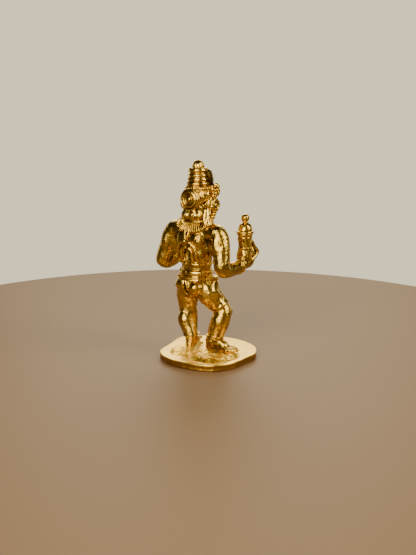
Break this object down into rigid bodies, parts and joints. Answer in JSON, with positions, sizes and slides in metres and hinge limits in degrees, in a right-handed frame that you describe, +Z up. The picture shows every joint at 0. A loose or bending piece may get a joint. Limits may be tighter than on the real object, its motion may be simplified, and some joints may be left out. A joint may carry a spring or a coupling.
{
  "type": "standing deity figurine",
  "caption": "Small gold-plated brass figure of a crowned two-armed deity standing on a hand-cut plate, one arm raised with a lidded vessel.",
  "frame": {"origin": "middle of the base plate's underside, on the surface that the figure stands on", "axes": "+Z up along the figure; the figure faces -Y and its left is +X"},
  "size_m": [0.0318, 0.0284, 0.058],
  "materials": {
    "polished_gold_plate": "polished gold plate over a slightly pitted cast skin",
    "ornament_gold_plate": "bright gold plate over chased and beaded ornament",
    "satin_gold_plate": "satin gold plate on the base"
  },
  "bodies": {
    "root": {"base_plate": "satin_gold_plate", "left_mound": "ornament_gold_plate", "right_mound": "ornament_gold_plate", "left_foot": "polished_gold_plate", "right_foot": "polished_gold_plate", "left_anklet": "ornament_gold_plate", "right_anklet": "ornament_gold_plate", "left_leg": "polished_gold_plate", "right_leg": "polished_gold_plate", "loincloth": "ornament_gold_plate", "back_flap": "ornament_gold_plate", "front_flap": "ornament_gold_plate", "waist_belt": "ornament_gold_plate", "hip_belt": "ornament_gold_plate", "torso": "polished_gold_plate", "belly_band": "ornament_gold_plate", "back_strap": "ornament_gold_plate", "outer_cord_arch": "ornament_gold_plate", "inner_cord_arch": "ornament_gold_plate", "neck": "polished_gold_plate", "collar": "ornament_gold_plate", "neck_ring": "ornament_gold_plate", "head": "polished_gold_plate", "nape_hair": "ornament_gold_plate", "left_ear": "polished_gold_plate", "right_ear": "polished_gold_plate", "left_earring": "ornament_gold_plate", "right_earring": "ornament_gold_plate", "crown_band": "ornament_gold_plate", "crown_cone": "ornament_gold_plate", "crown_bud": "ornament_gold_plate", "crown_front_leaf": "ornament_gold_plate", "crown_left_leaf": "ornament_gold_plate", "crown_right_leaf": "ornament_gold_plate", "crown_left_flower": "ornament_gold_plate", "crown_right_flower": "ornament_gold_plate", "head_wheel": "ornament_gold_plate", "wheel_boss": "ornament_gold_plate", "left_arm": "polished_gold_plate", "right_arm": "polished_gold_plate", "left_bracelet": "ornament_gold_plate", "right_bracelet": "ornament_gold_plate", "left_hand": "polished_gold_plate", "right_hand": "polished_gold_plate", "vessel": "ornament_gold_plate", "vessel_lid": "ornament_gold_plate", "lid_ball": "ornament_gold_plate"}
  },
  "joints": []
}
